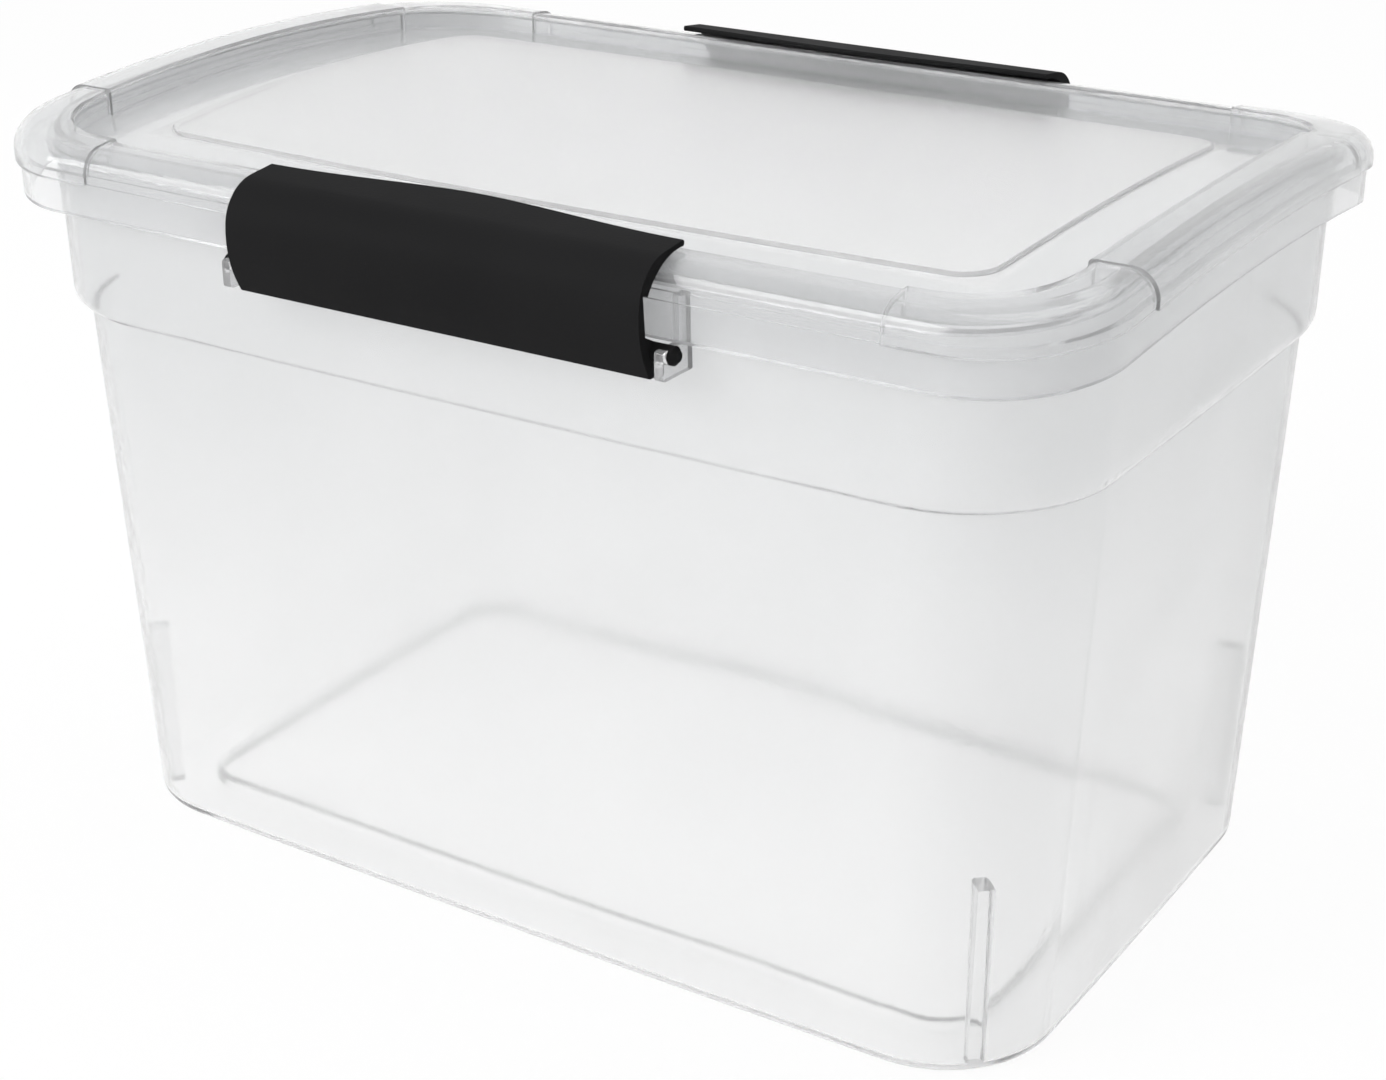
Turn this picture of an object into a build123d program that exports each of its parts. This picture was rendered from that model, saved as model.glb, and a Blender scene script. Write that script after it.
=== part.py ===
from build123d import *
import math
import os

# Clear latch box for papers, in millimetres.
# X runs along the length, the front is at -Y, Z is up, and the foot stands on Z = 0.

# Lid seen in plan
lid_length = 382.0
lid_width = 246.0
lid_bow_long = 1.2
lid_bow_short = 2.6
lid_corner = 38.0

# Walls
wall = 2.0
wall_draft = 2.35

# Foot and floor of the tub
foot_from_lid_end = 20.2
foot_from_lid_side = 18.3
foot_length = lid_length - 2 * foot_from_lid_end
foot_width = lid_width - 2 * foot_from_lid_side
foot_bow_long = 1.7
foot_bow_short = 1.0
foot_corner = 37.0
foot_edge_radius = 3.5
foot_ring_width = 20.8
floor_rise = 4.0
floor_edge = 1.5

# Upper band and flange of the tub
shoulder_height = 181.3
shoulder_flare = 2.4
shoulder_round = 7.0
band_draft = 0.7
band_corner = 40.5
flange_reach = 2.2
flange_below_seat = 3.2
seat_edge = 0.9

# Stacking ribs in the corners of the tub
rib_width = 5.0
rib_depth = 4.0
rib_height = 60.0
rib_edge_radius = 1.5

# Arch that the lid and the rim of the tub follow across the width
arch_rise = 6.6
arch_span = 218.0

# Rim and skirt of the lid
rim_height = 238.4
rim_roll = 8.0
rim_breadth_end = 16.6
rim_breadth_side = 15.1
rim_inner_length = lid_length - 2 * rim_breadth_end
rim_inner_width = lid_width - 2 * rim_breadth_side
rim_inner_bow_long = 0.8
rim_inner_bow_short = 5.0
rim_inner_corner = 28.0
rim_edge = 0.8
skirt_height = 21.1

# Crease under the rolled edge, and joggles where the rim changes size
crease_depth = 10.0
skirt_setback = 1.6
step_size = 1.0
step_rise = 0.6
long_step_from_middle = 137.0
short_step_from_middle = 75.0

# Recessed channel and raised panel of the lid
channel_depth = 8.0
panel_rise = 1.2
panel_edge = 0.8
channel_breadth_end = 26.6
channel_breadth_side = 23.7
panel_length = rim_inner_length - 2 * channel_breadth_end
panel_width = rim_inner_width - 2 * channel_breadth_side
panel_bow_long = 3.0
panel_bow_short = 2.6
panel_corner = 12.0

# Gap between the lid and the rim of the tub that it rests on
seat_gap = 0.3

# Section of the latches
latch_length = 142.8
latch_shell = 2.0
latch_edge = 0.5
lip_setback = 1.0
lip_gap = 0.8
lip_thickness = 1.9
tab_reach = 5.0
tab_rise = 0.5
shoulder_radius = 12.2
shoulder_drop = 1.2
shell_stand = 10.3
roll_gap = 1.6
hook_stand = 6.0
hook_step = 0.9
boss_shoulder = 5.2
boss_slope = 0.6
boss_face = 1.4
boss_lean = 0.9
boss_drop = 7.0
boss_foot = 5.0
boss_foot_radius = 0.8

# Pivots of the latches
pivot_out = 2.9
pivot_drop = 2.4
pin_radius = 2.7
pin_fit = 0.1
pin_reach = 7.6
pin_end = 1.2
ear_gap = 2.6
ear_thickness = 2.8
ear_reach = 4.4
ear_drop = 6.4
ear_skirt_gap = 0.5
ear_edge_radius = 1.0

arch_radius = (arch_span**2 / 4 + arch_rise**2) / (2 * arch_rise)
over_all = 300.0


def outline(length, width, bow_long, bow_short, corner):
    """Rounded rectangle with bowed sides, measured across the middles of its sides."""
    x = length / 2
    y = width / 2
    xc = x - bow_short
    yc = y - bow_long
    front = ThreePointArc((-xc, -yc), (0, -y), (xc, -yc))
    right = ThreePointArc((xc, -yc), (x, 0), (xc, yc))
    back = ThreePointArc((xc, yc), (0, y), (-xc, yc))
    left = ThreePointArc((-xc, yc), (-x, 0), (-xc, -yc))
    face = make_face([front, right, back, left])
    return fillet(face.vertices(), corner)


def arch_at(y):
    """Height of the arch at a distance from its middle, over its ends."""
    return math.sqrt(arch_radius**2 - y**2) - (arch_radius - arch_rise)


def under_arch(height):
    """All space below the arched surface that is this high at the ends of its span."""
    axis_height = height + arch_rise - arch_radius
    return Pos(0, 0, axis_height) * Rot(0, 90, 0) * Cylinder(arch_radius, 2 * lid_length)


def arched(face, bottom, top):
    """Plan outline made solid between two heights of the arch."""
    block = Pos(0, 0, bottom / 2) * extrude(face, over_all)
    return (block & under_arch(top)) - under_arch(bottom)


def top_edges(solid):
    """Edge loop around the highest face."""
    return solid.faces().sort_by(Axis.Z)[-1].edges()


# Places shared by the tub, the lid and the latches
low_rim_height = rim_height - step_rise
seat_height = low_rim_height - wall - seat_gap
flange_height = seat_height - flange_below_seat
channel_height = rim_height - channel_depth
crease_height = rim_height - crease_depth
skirt_y = lid_width / 2 - skirt_setback
skirt_bottom = rim_height - skirt_height + arch_at(skirt_y)
pivot_y = skirt_y + pivot_out
pivot_z = skirt_bottom - pivot_drop


# Tub
def foot_outline(inset, height=0.0):
    """Wall of the tub below its shoulder, drawn in by an inset."""
    growth = height * math.tan(math.radians(wall_draft)) - inset
    return outline(foot_length + 2 * growth, foot_width + 2 * growth, foot_bow_long, foot_bow_short,
                   foot_corner + growth)


def band_outline(inset, height):
    """Wall of the tub above its shoulder, drawn in by an inset."""
    growth_below = shoulder_height * math.tan(math.radians(wall_draft))
    growth_above = (height - shoulder_height) * math.tan(math.radians(band_draft))
    growth = growth_below + shoulder_flare + growth_above - inset
    return outline(foot_length + 2 * growth, foot_width + 2 * growth, foot_bow_long, foot_bow_short,
                   band_corner - inset)


def tub_block(inset, floor):
    """Solid block inside the walls of the tub, standing on a floor height."""
    flare_start = shoulder_height - shoulder_flare
    above_rim = rim_height + 2 * arch_rise
    sections = [
        Pos(0, 0, floor) * foot_outline(inset, floor),
        Pos(0, 0, flare_start) * foot_outline(inset, flare_start),
        Pos(0, 0, shoulder_height) * band_outline(inset, shoulder_height),
        Pos(0, 0, above_rim) * band_outline(inset, above_rim),
    ]
    block = loft(sections, ruled=True)
    foot_face = block.faces().sort_by(Axis.Z)[0]
    block = fillet(foot_face.edges(), foot_edge_radius - inset)
    shoulder = block.edges().filter_by_position(Axis.Z, shoulder_height - wall / 4, shoulder_height + wall / 4)
    return fillet(shoulder, shoulder_round - inset)


def tub_floor():
    """Raised middle of the floor, inside the ring that the tub stands on."""
    raised = extrude(foot_outline(foot_ring_width - wall), floor_rise + wall)
    return chamfer(top_edges(raised), floor_edge)


def tub_flange():
    """Stiffening bead round the rim of the tub, hidden inside the skirt of the lid."""
    bead = band_outline(-flange_reach, rim_height) - band_outline(wall / 2, rim_height)
    return arched(bead, flange_height - wall, flange_height)


def stacking_rib():
    """Rib in one rounded corner, which holds a nested tub off the one below."""
    centre_x = foot_length / 2 - foot_bow_short - foot_corner
    centre_y = foot_width / 2 - foot_bow_long - foot_corner
    reach = foot_corner - wall - rib_depth
    rib = Pos(reach + foot_corner / 2, 0, rib_height / 2) * Box(foot_corner, rib_width, rib_height)
    inner_edges = rib.edges().filter_by(Axis.Z).group_by(Axis.X)[0]
    rib = fillet(inner_edges, rib_edge_radius)
    return Pos(centre_x, centre_y, wall) * Rot(0, 0, 45) * rib


def pivot_ear():
    """Ear beside a latch, with an open bore that its pin snaps into from above."""
    wall_y = foot_width / 2 + pivot_z * math.tan(math.radians(wall_draft)) + shoulder_flare - wall
    inside_skirt = skirt_y - wall - ear_skirt_gap
    outer = pivot_y + ear_reach
    below = pivot_z - ear_drop
    under_skirt = skirt_bottom - ear_skirt_gap
    under_flange = flange_height - 2 * wall
    profile = Polyline((wall_y, below), (outer, below), (outer, under_skirt), (inside_skirt, under_skirt),
                       (inside_skirt, under_flange), (wall_y, under_flange), close=True)
    face = make_face(profile)
    outer_corners = face.vertices().group_by(Axis.X)[-1]
    face = fillet(outer_corners, ear_edge_radius)
    face = face - Pos(pivot_y, pivot_z) * Circle(pin_radius + pin_fit)
    return Pos(latch_length / 2 + ear_gap, 0, 0) * extrude(Plane.YZ * face, ear_thickness)


def make_tub():
    outside = tub_block(0, 0) & under_arch(seat_height)
    outside = chamfer(top_edges(outside), seat_edge)
    tub = outside - (tub_block(wall, wall) - tub_floor())
    tub = tub - extrude(foot_outline(foot_ring_width), floor_rise)
    tub = tub + tub_flange()
    for mirror_x in (1, -1):
        for mirror_y in (1, -1):
            rib = stacking_rib() & outside
            for piece in (rib, pivot_ear()):
                if mirror_x < 0:
                    piece = mirror(piece, Plane.YZ)
                if mirror_y < 0:
                    piece = mirror(piece, Plane.XZ)
                tub = tub + piece
    return tub


# Lid
def skirt_outline(inset):
    """Outside of the skirt, drawn in by an inset."""
    return outline(lid_length - 2 * inset, lid_width - 2 * inset, lid_bow_long, lid_bow_short,
                   lid_corner - inset)


def well_outline(inset):
    """Inside of the rim, drawn in by an inset."""
    return outline(rim_inner_length - 2 * inset, rim_inner_width - 2 * inset, rim_inner_bow_long,
                   rim_inner_bow_short, rim_inner_corner - inset)


def panel_outline(inset):
    """Raised panel, drawn in by an inset."""
    return outline(panel_length - 2 * inset, panel_width - 2 * inset, panel_bow_long,
                   panel_bow_short, panel_corner - inset)


def rim_ring(growth):
    """Hollow rim of one size, all the way round. Growth makes its roll wider and higher."""
    top = rim_height + growth * step_rise / step_size
    bottom = rim_height - skirt_height
    above_crease = crease_height + wall
    roll = arched(skirt_outline(-growth), crease_height, top)
    roll = fillet(top_edges(roll), rim_roll)
    skirt = arched(skirt_outline(skirt_setback), bottom, above_crease)
    roll_hollow = arched(skirt_outline(wall - growth), above_crease, top - wall)
    roll_hollow = fillet(top_edges(roll_hollow), rim_roll - wall)
    skirt_hollow = arched(skirt_outline(skirt_setback + wall), bottom - wall, above_crease + wall / 2)
    inner_wall = arched(well_outline(growth - wall), channel_height - wall, top - wall / 2)
    ring = roll + skirt - (roll_hollow + skirt_hollow - inner_wall)
    ring = ring - extrude(well_outline(growth), over_all)
    ledge = ring.faces().sort_by(Axis.Z)[-1]
    return chamfer(ledge.inner_wires()[0].edges(), rim_edge)


def make_lid():
    """Rim in three sizes with small joggles between them, and the plate that it carries."""
    long_middle = rim_ring(-step_size) & Box(2 * long_step_from_middle, lid_width, 2 * over_all)
    corners = rim_ring(0) - Box(2 * long_step_from_middle, 2 * lid_width, 2 * over_all)
    corners = corners - Box(2 * lid_length, 2 * short_step_from_middle, 2 * over_all)
    short_middle = rim_ring(step_size) & Box(2 * lid_length, 2 * short_step_from_middle, 2 * over_all)
    short_middle = short_middle - Box(2 * long_step_from_middle, 2 * lid_width, 2 * over_all)
    under_channel = channel_height - wall
    channel = arched(well_outline(-wall), under_channel, channel_height)
    panel = arched(panel_outline(0), channel_height - wall / 2, channel_height + panel_rise)
    panel = chamfer(top_edges(panel), panel_edge)
    hollow = arched(panel_outline(wall), under_channel - wall, under_channel + panel_rise)
    return long_middle + corners + short_middle + channel + panel - hollow


# Latches
lip_y = rim_inner_width / 2 + step_size + lip_setback


def latch_section():
    """Section of the back latch, drawn as distance from the middle and height."""
    roll_y = lid_width / 2 - step_size - rim_roll
    roll_z = low_rim_height + arch_at(roll_y) - rim_roll
    slant = (rim_roll + roll_gap) * math.sqrt(0.5)
    shell_y = skirt_y + shell_stand
    lip_under = (lip_y, low_rim_height + lip_gap)
    tab_under = (lip_y - tab_reach, low_rim_height + lip_gap + tab_rise)
    tab_top = (lip_y - tab_reach, low_rim_height + lip_gap + tab_rise + lip_thickness)
    shoulder_top = (shell_y - shoulder_radius, low_rim_height + lip_gap + lip_thickness - shoulder_drop)
    shoulder_end = (shell_y, shoulder_top[1] - shoulder_radius)
    over_roll = (roll_y + slant, roll_z + slant)
    hook_end = (skirt_y + hook_stand, roll_z)
    hook_root = (shell_y - latch_shell, roll_z + hook_step)
    boss_outer = (shell_y - latch_shell - boss_lean, pivot_z + boss_shoulder)
    boss_inner = (pivot_y - boss_face, pivot_z + pin_radius - boss_slope)
    foot_inner = (boss_inner[0] - boss_lean, pivot_z - boss_drop)
    foot_outer = (foot_inner[0] + boss_foot, pivot_z - boss_drop)
    top_line = Line(tab_top, shoulder_top)
    shoulder = TangentArc(shoulder_top, shoulder_end, tangent=top_line % 1)
    face_line = TangentArc(shoulder_end, foot_outer, tangent=shoulder % 1)
    under_lip = Line(tab_under, lip_under)
    over_rim = ThreePointArc(lip_under, over_roll, hook_end)
    outside = [top_line, shoulder, face_line]
    inside = [
        Polyline(foot_outer, foot_inner, boss_inner, boss_outer, hook_root, hook_end),
        over_rim,
        under_lip,
        Line(tab_under, tab_top),
    ]
    section = make_face(outside + inside)
    foot_corners = section.vertices().group_by(Axis.Y)[0]
    return fillet(foot_corners, boss_foot_radius)


def make_latch():
    """Back latch: a strap of one section, its lip swelling to a finger tab in the middle."""
    half = latch_length / 2
    strap = Pos(-half, 0, 0) * extrude(Plane.YZ * latch_section(), latch_length)
    swell = Spline((-half, lip_y), (0, lip_y - tab_reach), (half, lip_y), tangents=[(1, 0), (1, 0)])
    beyond = Polyline((half, lip_y), (half, 0), (-half, 0), (-half, lip_y))
    trimmed = strap - Pos(0, 0, channel_height) * extrude(make_face([swell, beyond]), over_all)
    lip_edges = [edge for edge in trimmed.edges() if edge.length > latch_length + latch_edge / 2]
    latch = chamfer(lip_edges, latch_edge)
    pin = Rot(0, 90, 0) * Cylinder(pin_radius, latch_length + 2 * pin_reach)
    pin = chamfer(pin.edges(), pin_end)
    pin = Pos(0, pivot_y, pivot_z) * (pin - Box(latch_length - 2 * pin_radius, 3 * pin_radius, 3 * pin_radius))
    return latch + pin


tub = make_tub()
lid = make_lid()
latch_back = make_latch()
latch_front = Rot(0, 0, 180) * latch_back

os.makedirs("parts", exist_ok=True)
export_step(tub, "parts/tub.step")
export_step(lid, "parts/lid.step")
export_step(latch_front, "parts/latch_front.step")
export_step(latch_back, "parts/latch_back.step")
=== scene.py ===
# %% [markdown]
# # A clear latch box for papers
# This lesson dresses a clear plastic storage box. Its construction is already settled and packed: a tapered
# tub, an arched lid that lifts off, and a black snap latch on each long side. Here the four mouldings get
# smooth surfaces, frosted and satin plastics, a pale studio, and a camera that stands where the
# photograph's stood.
#
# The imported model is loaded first, and it is never moved. Everything below is in metres in its frame:
# X along the box, the front at -Y, Z up, and the foot standing on Z = 0.

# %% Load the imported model
import math

import bpy
from mathutils import Matrix, Vector


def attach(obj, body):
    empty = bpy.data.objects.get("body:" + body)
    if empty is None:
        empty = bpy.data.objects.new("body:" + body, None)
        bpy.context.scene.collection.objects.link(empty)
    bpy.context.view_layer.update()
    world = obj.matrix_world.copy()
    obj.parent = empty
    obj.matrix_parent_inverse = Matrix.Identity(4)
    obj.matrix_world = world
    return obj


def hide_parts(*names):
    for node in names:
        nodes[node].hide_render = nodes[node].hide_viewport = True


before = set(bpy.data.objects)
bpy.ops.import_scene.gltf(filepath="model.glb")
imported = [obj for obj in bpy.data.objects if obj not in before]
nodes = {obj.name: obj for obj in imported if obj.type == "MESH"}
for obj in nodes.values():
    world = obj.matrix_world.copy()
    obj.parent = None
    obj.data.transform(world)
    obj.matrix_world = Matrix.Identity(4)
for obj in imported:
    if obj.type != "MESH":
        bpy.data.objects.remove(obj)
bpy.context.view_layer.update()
print("nodes:", sorted(nodes))

# %% [markdown]
# ## Camera
# The camera's place and aim were worked out from the outlines of the box in the photograph. It stands to the
# right of the front side and looks down a little, so that the front, the right end and the whole top show.
# It could be aimed with three Euler angles. Here a turn, a tilt and a slight roll describe its aim, and the
# three directions of the picture, right, up and backward, become the columns of its matrix, because each
# column can then be checked by eye.

# %% Camera
CAMERA_PLACE = Vector((0.4173, -0.6413, 0.4322))
CAMERA_TURN = math.radians(32.885)
CAMERA_TILT = math.radians(23.69)
CAMERA_ROLL = math.radians(0.239)
CAMERA_LENS = 65.0


def camera_axes(turn, tilt, roll):
    """Right, up and backward directions of a camera turned from +Y and tilted down."""
    forward = Vector((-math.sin(turn) * math.cos(tilt), math.cos(turn) * math.cos(tilt), -math.sin(tilt)))
    level = Vector((math.cos(turn), math.sin(turn), 0.0))
    down = forward.cross(level)
    right = level * math.cos(roll) + down * math.sin(roll)
    return right, right.cross(forward), -forward


camera_data = bpy.data.cameras.new("camera")
camera_data.lens = CAMERA_LENS
camera = bpy.data.objects.new("camera", camera_data)
bpy.context.scene.collection.objects.link(camera)
axes = Matrix(camera_axes(CAMERA_TURN, CAMERA_TILT, CAMERA_ROLL)).transposed()
camera.matrix_world = Matrix.Translation(CAMERA_PLACE) @ axes.to_4x4()
bpy.context.scene.camera = camera
print("camera at", [round(value, 3) for value in CAMERA_PLACE])

# %% [markdown]
# ## Studio
# The box stands on a white floor in an even white room. Clear plastic shows what is behind it, so the room
# has to be white for the camera, and also for rays that pass through the plastic or are mirrored by it. More
# light would make it white too, but would bleach the box with it. So a Light Path node chooses white for
# those rays, and all others meet a lower level, which is the light that the room gives.

# %% World
ROOM_LIGHT = 0.5
WHITE = (1.0, 1.0, 1.0, 1.0)


def looking_rays(tree):
    """Factor that is 1 for rays which show the room itself: from the camera, mirrored or through plastic."""
    path = tree.nodes.new("ShaderNodeLightPath")
    factor = path.outputs["Is Camera Ray"]
    for name in ("Is Glossy Ray", "Is Transmission Ray"):
        either = tree.nodes.new("ShaderNodeMath")
        either.operation = "MAXIMUM"
        tree.links.new(factor, either.inputs[0])
        tree.links.new(path.outputs[name], either.inputs[1])
        factor = either.outputs[0]
    return factor


world = bpy.data.worlds.new("studio")
world.use_nodes = True
bpy.context.scene.world = world
tree = world.node_tree
tree.nodes.clear()
lighting = tree.nodes.new("ShaderNodeBackground")
lighting.inputs["Color"].default_value = WHITE
lighting.inputs["Strength"].default_value = ROOM_LIGHT
backdrop = tree.nodes.new("ShaderNodeBackground")
backdrop.inputs["Color"].default_value = WHITE
choose = tree.nodes.new("ShaderNodeMixShader")
tree.links.new(looking_rays(tree), choose.inputs[0])
tree.links.new(lighting.outputs[0], choose.inputs[1])
tree.links.new(backdrop.outputs[0], choose.inputs[2])
output = tree.nodes.new("ShaderNodeOutputWorld")
tree.links.new(choose.outputs[0], output.inputs["Surface"])
print("room light", ROOM_LIGHT)

# %% [markdown]
# The floor keeps the shadow of the box. A matt floor alone would render grey in the open, so for the rays
# that show the room it is mixed with white light. What is left of the matt part is the shadow, soft and pale
# as in the photograph.

# %% Floor
FLOOR_SIZE = 8.0
FLOOR_DROP = 0.0002
FLOOR_WHITENESS = 0.94
FLOOR_COLOUR = (0.9, 0.9, 0.9, 1.0)
floor_mesh = bpy.data.meshes.new("floor")
reach = FLOOR_SIZE / 2
corners = [(-reach, -reach), (reach, -reach), (reach, reach), (-reach, reach)]
floor_mesh.from_pydata([(x, y, -FLOOR_DROP) for x, y in corners], [], [(0, 1, 2, 3)])
floor = bpy.data.objects.new("floor", floor_mesh)
bpy.context.scene.collection.objects.link(floor)

floor_material = bpy.data.materials.new("studio_floor")
floor_material.use_nodes = True
tree = floor_material.node_tree
tree.nodes.clear()
matte = tree.nodes.new("ShaderNodeBsdfDiffuse")
matte.inputs["Color"].default_value = FLOOR_COLOUR
glow = tree.nodes.new("ShaderNodeEmission")
glow.inputs["Color"].default_value = WHITE
share = tree.nodes.new("ShaderNodeMath")
share.operation = "MULTIPLY"
share.inputs[1].default_value = FLOOR_WHITENESS
tree.links.new(looking_rays(tree), share.inputs[0])
choose = tree.nodes.new("ShaderNodeMixShader")
tree.links.new(share.outputs[0], choose.inputs[0])
tree.links.new(matte.outputs[0], choose.inputs[1])
tree.links.new(glow.outputs[0], choose.inputs[2])
output = tree.nodes.new("ShaderNodeOutputMaterial")
tree.links.new(choose.outputs[0], output.inputs["Surface"])
floor_mesh.materials.append(floor_material)
print("floor", FLOOR_SIZE, "m wide")

# %% [markdown]
# Two large soft lamps shape the box. Small ones would draw hard glints along every edge of the clear
# plastic. The key stands in front and to the left, so the front side is lighter than the right end. The
# other, overhead and behind, lights the arch of the lid and the top of the latches.

# %% Lamps
BOX_MIDDLE = Vector((0.0, 0.0, 0.12))


def soft_lamp(name, place, size, power):
    """Square area lamp at a place, turned to face the box."""
    data = bpy.data.lights.new(name, "AREA")
    data.size = size
    data.energy = power
    lamp = bpy.data.objects.new(name, data)
    lamp.location = place
    lamp.rotation_euler = (BOX_MIDDLE - Vector(place)).to_track_quat("-Z", "Y").to_euler()
    bpy.context.scene.collection.objects.link(lamp)
    print(name, "lamp", power, "W")


soft_lamp("key", place=(-1.2, -1.7, 1.3), size=1.4, power=42.0)
soft_lamp("overhead", place=(0.3, 0.6, 2.0), size=1.6, power=16.0)
bpy.context.scene.view_settings.view_transform = "Standard"

# %% [markdown]
# ## Effects that the plastics share
# Injection mouldings are never one flat colour. Clear polypropylene is cloudy in soft patches, its skin
# carries the fine grain of the mould, and handling leaves hairlines. The clear and the black plastic both
# show these, so each effect is one node group that every material places with its own values.

# %% Helper for node groups


def new_group(name, inputs, output):
    """Shader node group that reads a vector and float inputs, given as name and default."""
    group = bpy.data.node_groups.new(name, "ShaderNodeTree")
    group.interface.new_socket("Vector", in_out="INPUT", socket_type="NodeSocketVector")
    for label, value in inputs:
        socket = group.interface.new_socket(label, in_out="INPUT", socket_type="NodeSocketFloat")
        socket.default_value = value
    group.interface.new_socket(output, in_out="OUTPUT", socket_type="NodeSocketFloat")
    return group, group.nodes.new("NodeGroupInput"), group.nodes.new("NodeGroupOutput")


print("helper for node groups is ready")

# %% [markdown]
# The grain is a fine noise read as a height. Its single bumps are far too small to see, but together they
# break up every highlight, which is what makes moulded plastic look satin and not wet. Real geometry that
# fine would need millions of faces, so it is a bump.

# %% Mould grain


def make_grain_group():
    """Fine noise, made deeper or shallower, as a height."""
    group, start, end = new_group("mould_grain", [("Scale", 900.0), ("Depth", 1.0)], "Height")
    noise = group.nodes.new("ShaderNodeTexNoise")
    noise.inputs["Detail"].default_value = 3.0
    deepen = group.nodes.new("ShaderNodeMath")
    deepen.operation = "MULTIPLY"
    group.links.new(start.outputs["Vector"], noise.inputs["Vector"])
    group.links.new(start.outputs["Scale"], noise.inputs["Scale"])
    group.links.new(noise.outputs["Fac"], deepen.inputs[0])
    group.links.new(start.outputs["Depth"], deepen.inputs[1])
    group.links.new(deepen.outputs[0], end.inputs["Height"])
    return group


grain_group = make_grain_group()
print("group", grain_group.name)

# %% [markdown]
# Cloudiness is a slow noise stretched between two values. A smooth step keeps its edges soft, because a
# hard limit would draw contour lines that clear plastic shows at once.

# %% Cloudiness
CLOUD_FROM = 0.2
CLOUD_TO = 0.8


def make_cloud_group():
    """Slow noise, spread softly between two values."""
    group, start, end = new_group("cloudiness", [("Scale", 14.0), ("Low", 0.0), ("High", 1.0)], "Value")
    noise = group.nodes.new("ShaderNodeTexNoise")
    noise.inputs["Detail"].default_value = 2.0
    spread = group.nodes.new("ShaderNodeMapRange")
    spread.interpolation_type = "SMOOTHSTEP"
    spread.inputs["From Min"].default_value = CLOUD_FROM
    spread.inputs["From Max"].default_value = CLOUD_TO
    group.links.new(start.outputs["Vector"], noise.inputs["Vector"])
    group.links.new(start.outputs["Scale"], noise.inputs["Scale"])
    group.links.new(noise.outputs["Fac"], spread.inputs["Value"])
    group.links.new(start.outputs["Low"], spread.inputs["To Min"])
    group.links.new(start.outputs["High"], spread.inputs["To Max"])
    group.links.new(spread.outputs["Result"], end.inputs["Value"])
    return group


cloud_group = make_cloud_group()
print("group", cloud_group.name)

# %% [markdown]
# Hairlines are noise that is drawn out along one direction until its patches become streaks. Only the
# tops of the noise count, so they are few and faint, as on a box that has been moved about a little.

# %% Hairlines
STREAK_TURN = (0.4, 0.5, 0.6)
STREAK_STRETCH = (1.0, 60.0, 1.0)
STREAK_FROM = 0.66
STREAK_TO = 0.78


def make_hairline_group():
    """Few faint streaks, from the tops of a stretched noise."""
    group, start, end = new_group("hairlines", [("Scale", 10.0), ("Strength", 0.1)], "Value")
    stretch = group.nodes.new("ShaderNodeMapping")
    stretch.inputs["Rotation"].default_value = STREAK_TURN
    stretch.inputs["Scale"].default_value = STREAK_STRETCH
    noise = group.nodes.new("ShaderNodeTexNoise")
    noise.inputs["Detail"].default_value = 1.0
    tops = group.nodes.new("ShaderNodeMapRange")
    tops.interpolation_type = "SMOOTHSTEP"
    tops.inputs["From Min"].default_value = STREAK_FROM
    tops.inputs["From Max"].default_value = STREAK_TO
    group.links.new(start.outputs["Vector"], stretch.inputs["Vector"])
    group.links.new(stretch.outputs["Vector"], noise.inputs["Vector"])
    group.links.new(start.outputs["Scale"], noise.inputs["Scale"])
    group.links.new(noise.outputs["Fac"], tops.inputs["Value"])
    group.links.new(start.outputs["Strength"], tops.inputs["To Max"])
    group.links.new(tops.outputs["Result"], end.inputs["Value"])
    return group


hairline_group = make_hairline_group()
print("group", hairline_group.name)

# %% [markdown]
# ## The plastics
# One helper wires what all three materials have in common: a colour that drifts between two close tones, a
# roughness that drifts and takes the hairlines, and the grain as a bump. It hands back the places where a
# material may add what is its own.

# %% Material helper
COLOUR_PATCHES = 12.0
ROUGHNESS_PATCHES = 30.0
GRAIN_HEIGHT = 0.0002


def place_group(tree, group, vector, **values):
    """One use of a shared group in a material."""
    node = tree.nodes.new("ShaderNodeGroup")
    node.node_tree = group
    tree.links.new(vector, node.inputs["Vector"])
    for label, value in values.items():
        node.inputs[label].default_value = value
    return node.outputs[0]


def blend_colours(tree, factor, first, second):
    """Mix of two colours, or of a link and a colour, by a mask."""
    mix = tree.nodes.new("ShaderNodeMix")
    mix.data_type = "RGBA"
    tree.links.new(factor, mix.inputs["Factor"])
    for socket, value in (("A", first), ("B", second)):
        if isinstance(value, tuple):
            mix.inputs[socket].default_value = (*value, 1.0)
        else:
            tree.links.new(value, mix.inputs[socket])
    return mix.outputs["Result"]


def combine(tree, operation, first, second):
    """One step of arithmetic between a link and a link or number."""
    step = tree.nodes.new("ShaderNodeMath")
    step.operation = operation
    tree.links.new(first, step.inputs[0])
    if isinstance(second, float):
        step.inputs[1].default_value = second
    else:
        tree.links.new(second, step.inputs[1])
    return step.outputs[0]


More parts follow.
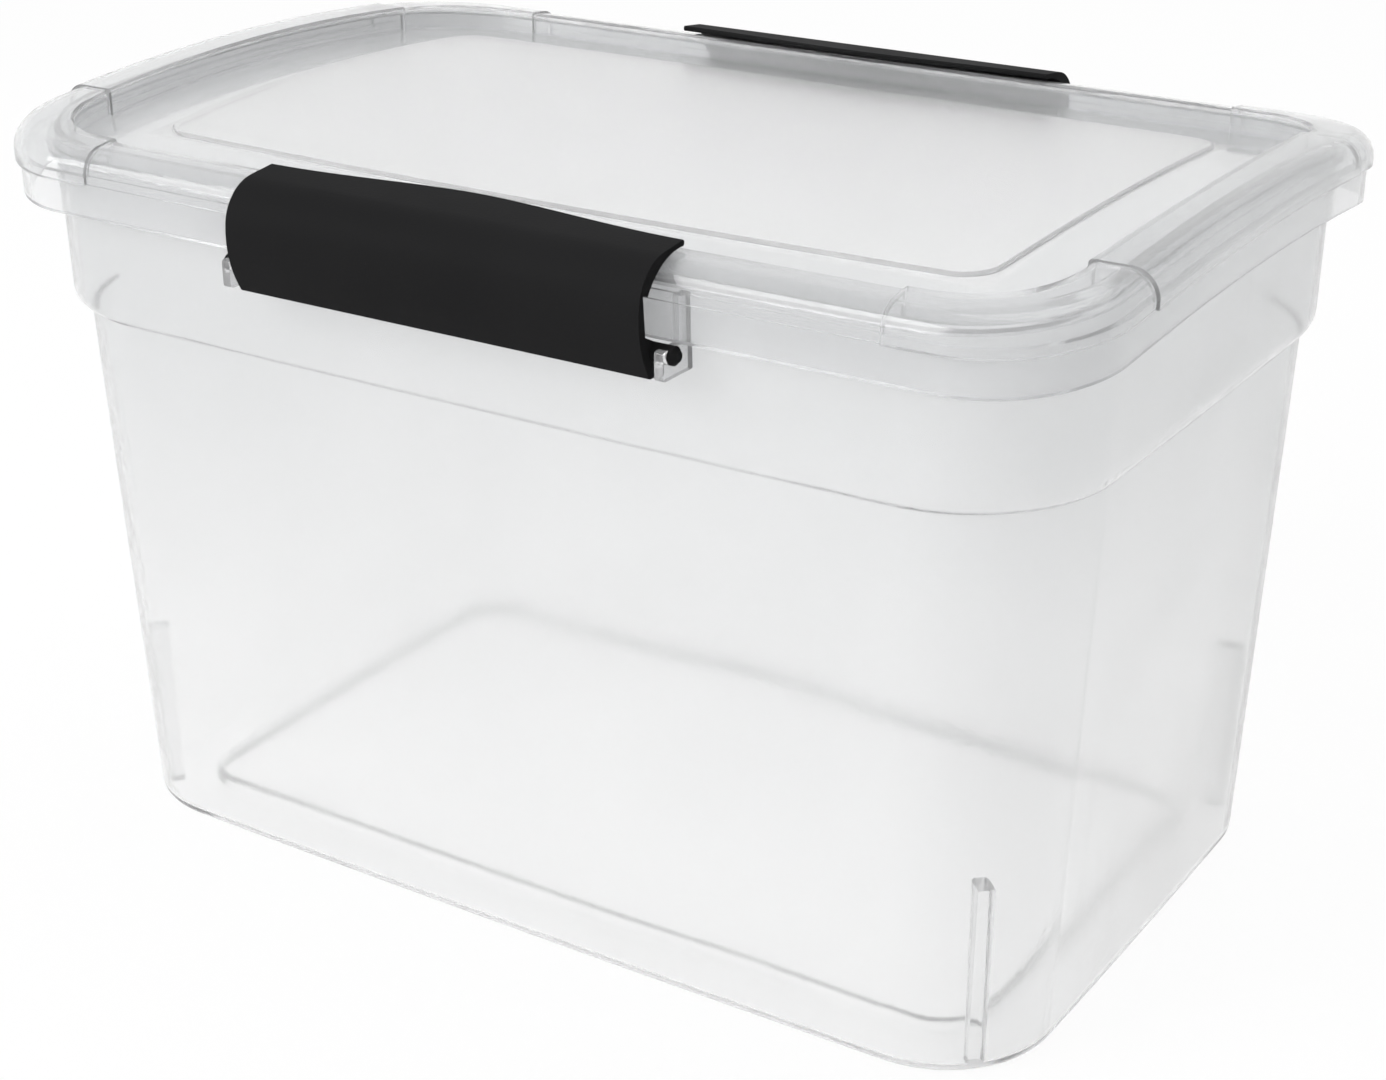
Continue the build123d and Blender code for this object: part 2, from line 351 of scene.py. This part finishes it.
def moulded_plastic(name, tones, rough_range, grain, hairline_strength):
    """Plastic with drifting colour and roughness, hairlines and grain. Returns what a finish adds to."""
    material = bpy.data.materials.new(name)
    material.use_nodes = True
    tree = material.node_tree
    shader = tree.nodes["Principled BSDF"]
    place = tree.nodes.new("ShaderNodeTexCoord").outputs["Object"]
    colour = blend_colours(tree, place_group(tree, cloud_group, place, Scale=COLOUR_PATCHES), *tones)
    low, high = rough_range
    drift = place_group(tree, cloud_group, place, Scale=ROUGHNESS_PATCHES, Low=low, High=high)
    lines = place_group(tree, hairline_group, place, Strength=hairline_strength)
    rough = combine(tree, "ADD", drift, lines)
    bump = tree.nodes.new("ShaderNodeBump")
    grain_scale, grain_strength = grain
    bump.inputs["Strength"].default_value = grain_strength
    bump.inputs["Distance"].default_value = GRAIN_HEIGHT
    tree.links.new(place_group(tree, grain_group, place, Scale=grain_scale), bump.inputs["Height"])
    tree.links.new(bump.outputs["Normal"], shader.inputs["Normal"])
    tree.links.new(colour, shader.inputs["Base Color"])
    tree.links.new(rough, shader.inputs["Roughness"])
    return material, shader, place, colour, rough


print("helper for plastics is ready")

# %% [markdown]
# The tub is a wall of clear polypropylene 2 mm thick. Alpha could draw it quickly, but then nothing behind
# it would bend. Transmission bends it, so corners and rims show as they do in real plastic. Most of the
# light passes through, a little is turned milky white at the surface, and the rough skin blurs what lies far
# behind.
#
# The real refractive index is near 1.49, but with it the thin edges rendered as hard glassy lines, which the
# photograph does not show, so a lower one is used. A paler second tone is mixed in by height towards the
# foot.
# That is painted light: the wall is painted lighter at the foot and darker above, standing in for how the
# light falls on it.

# %% Clear plastic of the tub
CLEAR_IOR = 1.32
HAZY_TONES = ((0.865, 0.87, 0.875), (0.9, 0.904, 0.909))
# Painted light: a paler tone painted at the foot, fading in between two heights.
FOOT_PAINTED_LIGHT_TONE = (0.995, 0.996, 0.998)
PAINTED_LIGHT_FROM = 0.2
PAINTED_LIGHT_TO = 0.04
CLEAR_GRAIN = (700.0, 0.1)
CLEAR_HAIRLINES = 0.06
TUB_ROUGHNESS = (0.1, 0.14)
TUB_TRANSMISSION = 0.86


def height_mask(tree, place, start, end):
    """Mask that is 0 at the first height, 1 at the second, and changes evenly between them."""
    split = tree.nodes.new("ShaderNodeSeparateXYZ")
    tree.links.new(place, split.inputs[0])
    mask = tree.nodes.new("ShaderNodeMapRange")
    mask.inputs["From Min"].default_value = start
    mask.inputs["From Max"].default_value = end
    tree.links.new(split.outputs["Z"], mask.inputs["Value"])
    return mask.outputs["Result"]


tub_plastic, shader, place, colour, rough = moulded_plastic(
    "frosted_clear_tub", HAZY_TONES, TUB_ROUGHNESS, CLEAR_GRAIN, CLEAR_HAIRLINES)
tree = tub_plastic.node_tree
# Painted light: the wall is painted paler towards the foot and darker above it.
painted_foot_light = height_mask(tree, place, PAINTED_LIGHT_FROM, PAINTED_LIGHT_TO)
tree.links.new(blend_colours(tree, painted_foot_light, colour, FOOT_PAINTED_LIGHT_TONE), shader.inputs["Base Color"])
shader.inputs["Transmission Weight"].default_value = TUB_TRANSMISSION
shader.inputs["IOR"].default_value = CLEAR_IOR
print("material", tub_plastic.name)

# %% [markdown]
# The lid is the same plastic, but its raised panel looks matt, as if that part of the mould had been etched.
# The panel could be a piece with a material of its own, but the real lid is one moulding. So a mask finds
# the panel from its size in plan and makes it rougher. It also paints the panel paler, a painted sheen that
# stands in for the broad reflection of the lamp on it. The channel and the rim stay glossy, and the far
# latch shows through them.

# %% Clear plastic of the lid
PANEL_HALF_LENGTH = 0.148
PANEL_HALF_WIDTH = 0.0842
PANEL_SOFT_EDGE = 0.001
PANEL_ROUGHNESS = 0.25
# Painted sheen: the paler tone painted on the panel.
PANEL_PAINTED_SHEEN_TONE = (0.985, 0.987, 0.99)
LID_ROUGHNESS = (0.05, 0.08)
LID_TRANSMISSION = 0.84


def panel_mask(tree, place):
    """Mask that is 1 on the raised panel and 0 outside it, seen in plan."""
    split = tree.nodes.new("ShaderNodeSeparateXYZ")
    tree.links.new(place, split.inputs[0])
    distances = []
    for axis, half in (("X", PANEL_HALF_LENGTH), ("Y", PANEL_HALF_WIDTH)):
        size = combine(tree, "ABSOLUTE", split.outputs[axis], 0.0)
        distances.append(combine(tree, "SUBTRACT", size, half))
    mask = tree.nodes.new("ShaderNodeMapRange")
    mask.inputs["From Min"].default_value = PANEL_SOFT_EDGE
    mask.inputs["From Max"].default_value = -PANEL_SOFT_EDGE
    tree.links.new(combine(tree, "MAXIMUM", *distances), mask.inputs["Value"])
    return mask.outputs["Result"]


lid_plastic, shader, place, colour, rough = moulded_plastic(
    "frosted_clear_lid", HAZY_TONES, LID_ROUGHNESS, CLEAR_GRAIN, CLEAR_HAIRLINES)
tree = lid_plastic.node_tree
on_panel = panel_mask(tree, place)
etched = combine(tree, "MULTIPLY", on_panel, PANEL_ROUGHNESS)
tree.links.new(combine(tree, "MAXIMUM", rough, etched), shader.inputs["Roughness"])
# Painted sheen: the panel is painted in a paler tone.
tree.links.new(blend_colours(tree, on_panel, colour, PANEL_PAINTED_SHEEN_TONE), shader.inputs["Base Color"])
shader.inputs["Transmission Weight"].default_value = LID_TRANSMISSION
shader.inputs["IOR"].default_value = CLEAR_IOR
print("material", lid_plastic.name)

# %% [markdown]
# The latches are black polypropylene with a fine satin grain. Their shape is read only from the broad, dull
# highlight that the grain leaves. The specular level is kept very low, because seen at a low angle even dull
# black plastic mirrors the white room and turns grey, which the photograph does not show.

# %% Black plastic of the latches
BLACK_TONES = ((0.012, 0.012, 0.0125), (0.016, 0.016, 0.0165))
LATCH_ROUGHNESS = (0.56, 0.64)
LATCH_GRAIN = (1100.0, 0.25)
LATCH_HAIRLINES = 0.08
LATCH_SPECULAR = 0.02
latch_plastic, shader, place, colour, rough = moulded_plastic(
    "satin_black_latch", BLACK_TONES, LATCH_ROUGHNESS, LATCH_GRAIN, LATCH_HAIRLINES)
shader.inputs["Specular IOR Level"].default_value = LATCH_SPECULAR
print("material", latch_plastic.name)

# %% [markdown]
# ## The four mouldings
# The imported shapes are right, but their meshes are loose triangles, which can't be shaded smoothly. They
# could be modelled again by hand, but would then no longer be the shapes that were checked. So one Geometry
# Nodes tree mends the shading of every moulding by the same rule. It merges the corners that touch, marks
# each edge that turns by more than an angle as sharp, shades the rest smoothly, and sets the material.

# %% Smoothing tree
GEOMETRY = "NodeSocketGeometry"
FLOAT = "NodeSocketFloat"


def make_smoothing_tree():
    """Geometry Nodes tree that shades a mesh of loose triangles as one moulding."""
    tree = bpy.data.node_groups.new("smooth_moulding", "GeometryNodeTree")
    tree.is_modifier = True
    tree.interface.new_socket("Geometry", in_out="INPUT", socket_type=GEOMETRY)
    tree.interface.new_socket("Merge Distance", in_out="INPUT", socket_type=FLOAT)
    tree.interface.new_socket("Crease Angle", in_out="INPUT", socket_type=FLOAT)
    tree.interface.new_socket("Material", in_out="INPUT", socket_type="NodeSocketMaterial")
    tree.interface.new_socket("Geometry", in_out="OUTPUT", socket_type=GEOMETRY)
    start = tree.nodes.new("NodeGroupInput")
    end = tree.nodes.new("NodeGroupOutput")
    merge = tree.nodes.new("GeometryNodeMergeByDistance")
    smooth = tree.nodes.new("GeometryNodeSetShadeSmooth")
    turn = tree.nodes.new("GeometryNodeInputMeshEdgeAngle")
    is_crease = tree.nodes.new("FunctionNodeCompare")
    crease = tree.nodes.new("GeometryNodeSetShadeSmooth")
    crease.domain = "EDGE"
    crease.inputs["Shade Smooth"].default_value = False
    realize = tree.nodes.new("GeometryNodeRealizeInstances")
    dress = tree.nodes.new("GeometryNodeSetMaterial")
    tree.links.new(start.outputs["Geometry"], merge.inputs["Geometry"])
    tree.links.new(start.outputs["Merge Distance"], merge.inputs["Distance"])
    tree.links.new(merge.outputs["Geometry"], smooth.inputs["Geometry"])
    tree.links.new(turn.outputs["Unsigned Angle"], is_crease.inputs["A"])
    tree.links.new(start.outputs["Crease Angle"], is_crease.inputs["B"])
    tree.links.new(smooth.outputs["Geometry"], crease.inputs["Geometry"])
    tree.links.new(is_crease.outputs["Result"], crease.inputs["Selection"])
    tree.links.new(crease.outputs["Geometry"], realize.inputs["Geometry"])
    tree.links.new(realize.outputs["Geometry"], dress.inputs["Geometry"])
    tree.links.new(start.outputs["Material"], dress.inputs["Material"])
    tree.links.new(dress.outputs["Geometry"], end.inputs["Geometry"])
    return tree


smoothing_tree = make_smoothing_tree()
print("tree", smoothing_tree.name, "with", len(smoothing_tree.nodes), "nodes")

# %% [markdown]
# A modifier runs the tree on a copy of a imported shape. Its inputs are set by the identifiers of their
# sockets, and the result is turned into a plain mesh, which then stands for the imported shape.

# %% Smooth mouldings
MERGE_DISTANCE = 0.000002
CREASE_ANGLE = math.radians(28.0)


def run_tree(piece, tree, values):
    """Replace a piece's mesh by what a tree makes of it."""
    modifier = piece.modifiers.new(tree.name, "NODES")
    modifier.node_group = tree
    for item in tree.interface.items_tree:
        if item.in_out == "INPUT" and item.name in values:
            modifier[item.identifier] = values[item.name]
    made = bpy.data.meshes.new_from_object(piece.evaluated_get(bpy.context.evaluated_depsgraph_get()))
    piece.modifiers.clear()
    piece.data = made


def dress(node, slot, material):
    """Smooth, dressed copy of a packed moulding, which stands for it and moves with its body."""
    name = f"{node}_moulding"
    piece = bpy.data.objects.new(name, nodes[node].data.copy())
    bpy.context.scene.collection.objects.link(piece)
    values = {"Merge Distance": MERGE_DISTANCE, "Crease Angle": CREASE_ANGLE, "Material": material}
    run_tree(piece, smoothing_tree, values)
    piece.data.name = name
    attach(piece, node)
    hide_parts(node)
    print(name, "has", len(piece.data.polygons), "faces")


dress("tub", "clear_tub", tub_plastic)
dress("lid", "clear_lid", lid_plastic)
dress("latch_front", "latch_black", latch_plastic)
dress("latch_back", "latch_black", latch_plastic)
